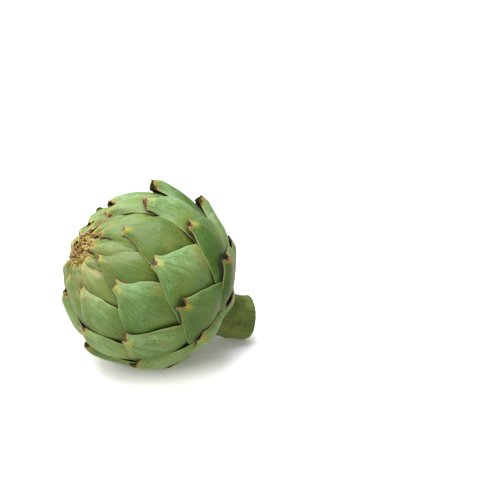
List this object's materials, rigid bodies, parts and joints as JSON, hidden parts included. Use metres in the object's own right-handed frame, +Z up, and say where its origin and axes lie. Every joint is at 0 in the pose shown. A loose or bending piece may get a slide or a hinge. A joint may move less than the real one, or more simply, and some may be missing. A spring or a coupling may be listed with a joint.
{
  "type": "artichoke",
  "caption": "Whole globe artichoke lying on its side, with overlapping bracts in a spiral, a closed crown and a short cut stem.",
  "frame": {"origin": "on the surface it rests on, under the middle of its bounding box", "axes": "+X from the crown towards the cut stem, along its longest extent; +Z up; the head's own axis rises 36 degrees towards -X"},
  "size_m": [0.1116, 0.1045, 0.1013],
  "materials": {
    "bract": "satin",
    "stem": "matte",
    "heart": "satin",
    "choke": "matte",
    "inner_bracts": "satin"
  },
  "bodies": {
    "root": {"stem": "stem", "heart": "heart", "choke": "choke", "inner_bracts": "inner_bracts", "bract_01": "bract", "bract_02": "bract", "bract_03": "bract", "bract_04": "bract", "bract_05": "bract", "bract_06": "bract", "bract_07": "bract", "bract_08": "bract", "bract_09": "bract", "bract_10": "bract", "bract_11": "bract", "bract_12": "bract", "bract_13": "bract", "bract_14": "bract", "bract_15": "bract", "bract_16": "bract", "bract_17": "bract", "bract_18": "bract", "bract_19": "bract", "bract_20": "bract", "bract_21": "bract", "bract_22": "bract", "bract_23": "bract", "bract_24": "bract", "bract_25": "bract", "bract_26": "bract", "bract_27": "bract", "bract_28": "bract", "bract_29": "bract", "bract_30": "bract", "bract_31": "bract", "bract_32": "bract", "bract_33": "bract", "bract_34": "bract", "bract_35": "bract", "bract_36": "bract", "bract_37": "bract", "bract_38": "bract", "bract_39": "bract", "bract_40": "bract", "bract_41": "bract", "bract_42": "bract", "bract_43": "bract", "bract_44": "bract", "bract_45": "bract", "bract_46": "bract", "bract_47": "bract", "bract_48": "bract", "bract_49": "bract", "bract_50": "bract"}
  },
  "joints": []
}
